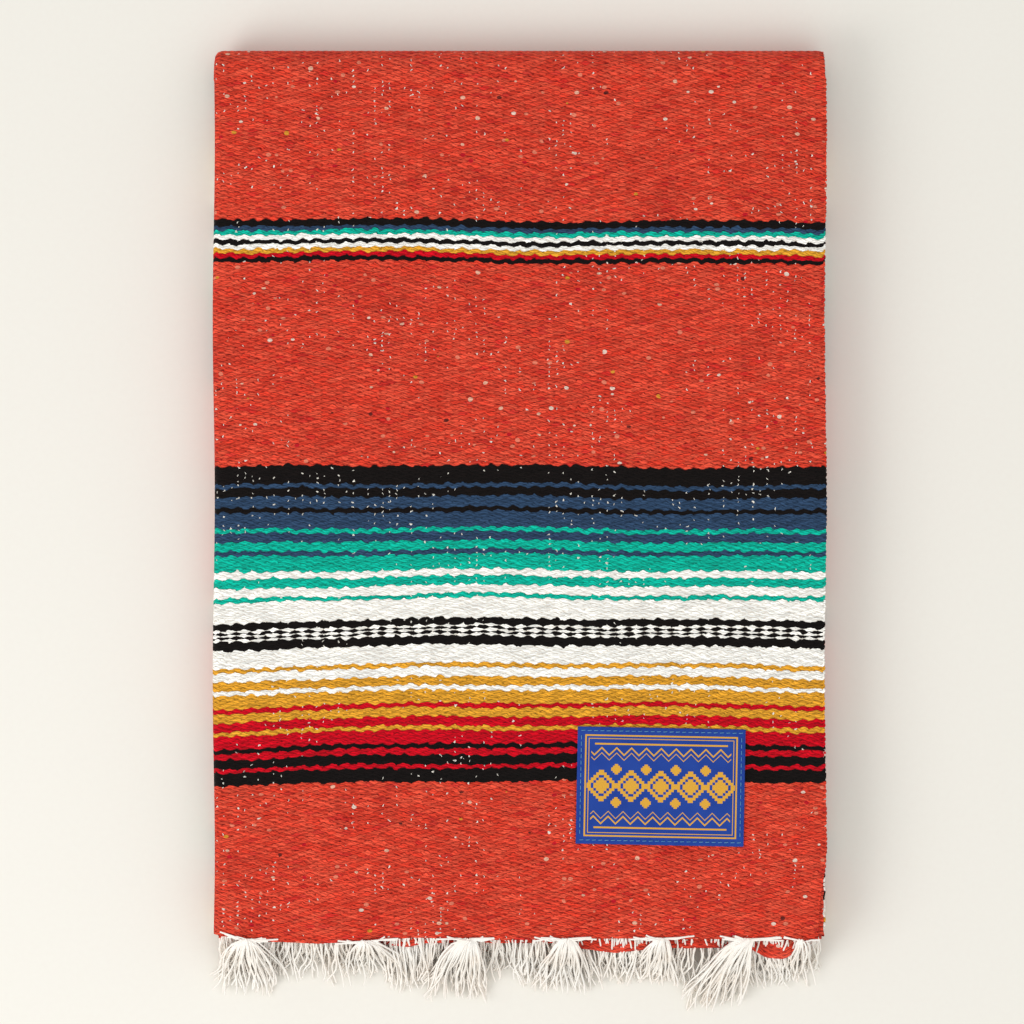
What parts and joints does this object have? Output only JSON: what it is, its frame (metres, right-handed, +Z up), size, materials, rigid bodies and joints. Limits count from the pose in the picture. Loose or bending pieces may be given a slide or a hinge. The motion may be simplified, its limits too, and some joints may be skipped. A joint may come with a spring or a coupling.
{
  "type": "folded serape blanket",
  "caption": "Woven striped serape blanket folded flat into a layered rectangle, with tied cotton fringe at its front and a sewn patch, resting on a surface.",
  "frame": {"origin": "centre of the bounding box at its bottom, on the surface that the blanket lies on", "axes": "+X along the stripes towards the selvedge side, +Y from the fringed front towards the back fold, +Z up through the stack"},
  "size_m": [0.35, 0.5538, 0.0377],
  "materials": {
    "brick_weave": "coarse matt weft-faced weave, heathered brick red with bands of black, navy, teal, white, gold and scarlet",
    "striped_weave": "the same matt weave, seen at folded and selvedge edges",
    "cotton_fringe": "matt cream cotton yarn, loosely twisted",
    "woven_label": "fine satin-like woven blue with yellow figures"
  },
  "bodies": {
    "root": {"top_stretch": "brick_weave", "back_fold": "brick_weave", "under_stretch": "brick_weave", "front_fold": "brick_weave", "hidden_layers": "striped_weave", "second_end": "striped_weave", "fringe_upper": "cotton_fringe", "fringe_lower": "cotton_fringe", "label": "woven_label"}
  },
  "joints": []
}
